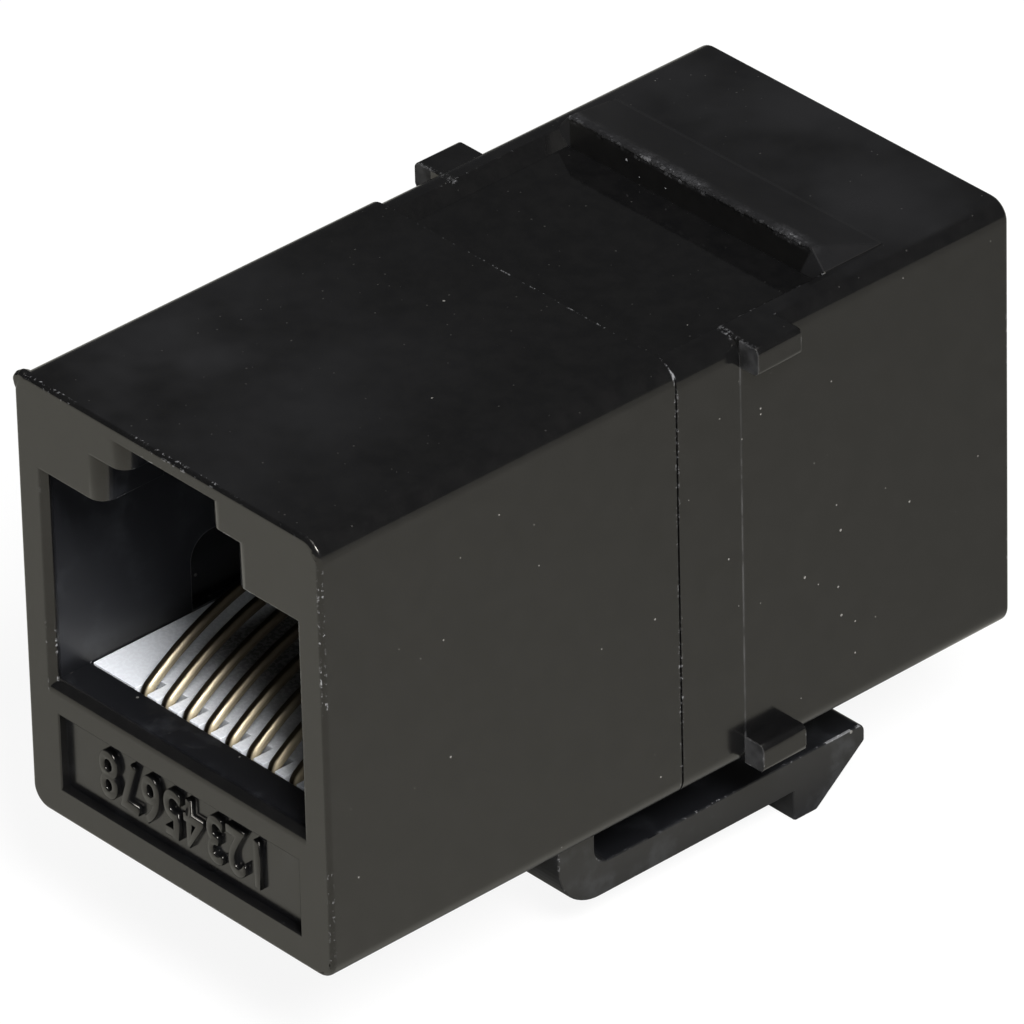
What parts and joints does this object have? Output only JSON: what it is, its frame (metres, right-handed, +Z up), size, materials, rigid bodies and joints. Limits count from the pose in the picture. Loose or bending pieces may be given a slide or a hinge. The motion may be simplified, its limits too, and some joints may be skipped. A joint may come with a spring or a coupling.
{
  "type": "ethernet inline coupler",
  "caption": "Black moulded inline coupler that joins network plugs end to end and snaps into a panel opening by a sprung latch, stop lugs and a fixed ridge.",
  "frame": {"origin": "mid-width and mid-height of the body, in the plane where the stop lugs meet the back of the panel", "axes": "+Y from the cable-side port to the panel-side port, the way the coupler goes into a panel; +Z up, from the latch to the fixed ridge; +X to the right seen from the cable side"},
  "size_m": [0.0162, 0.0296, 0.0214],
  "materials": {
    "housing_black": "glossy black moulded plastic",
    "carrier_white": "white moulded plastic",
    "contact_gold": "gold-plated spring wire",
    "board_green": "glass-fibre board with green mask"
  },
  "bodies": {
    "housing": {"cable_side_housing": "housing_black", "panel_side_housing": "housing_black", "cable_side_carrier": "carrier_white", "panel_side_carrier": "carrier_white", "circuit_board": "board_green", "cable_side_contact_1": "contact_gold", "cable_side_contact_2": "contact_gold", "cable_side_contact_3": "contact_gold", "cable_side_contact_4": "contact_gold", "cable_side_contact_5": "contact_gold", "cable_side_contact_6": "contact_gold", "cable_side_contact_7": "contact_gold", "cable_side_contact_8": "contact_gold", "panel_side_contact_1": "contact_gold", "panel_side_contact_2": "contact_gold", "panel_side_contact_3": "contact_gold", "panel_side_contact_4": "contact_gold", "panel_side_contact_5": "contact_gold", "panel_side_contact_6": "contact_gold", "panel_side_contact_7": "contact_gold", "panel_side_contact_8": "contact_gold"},
    "latch": {"panel_latch": "housing_black"}
  },
  "joints": [
    {"name": "latch_flex", "type": "hinge", "parent": "housing", "child": "latch", "pos_m": [0, -0.00813, -0.01093], "axis": [1, 0, 0], "range_deg": [0, 7.5], "stiffness_Nm_per_rad": 0.6}
  ]
}
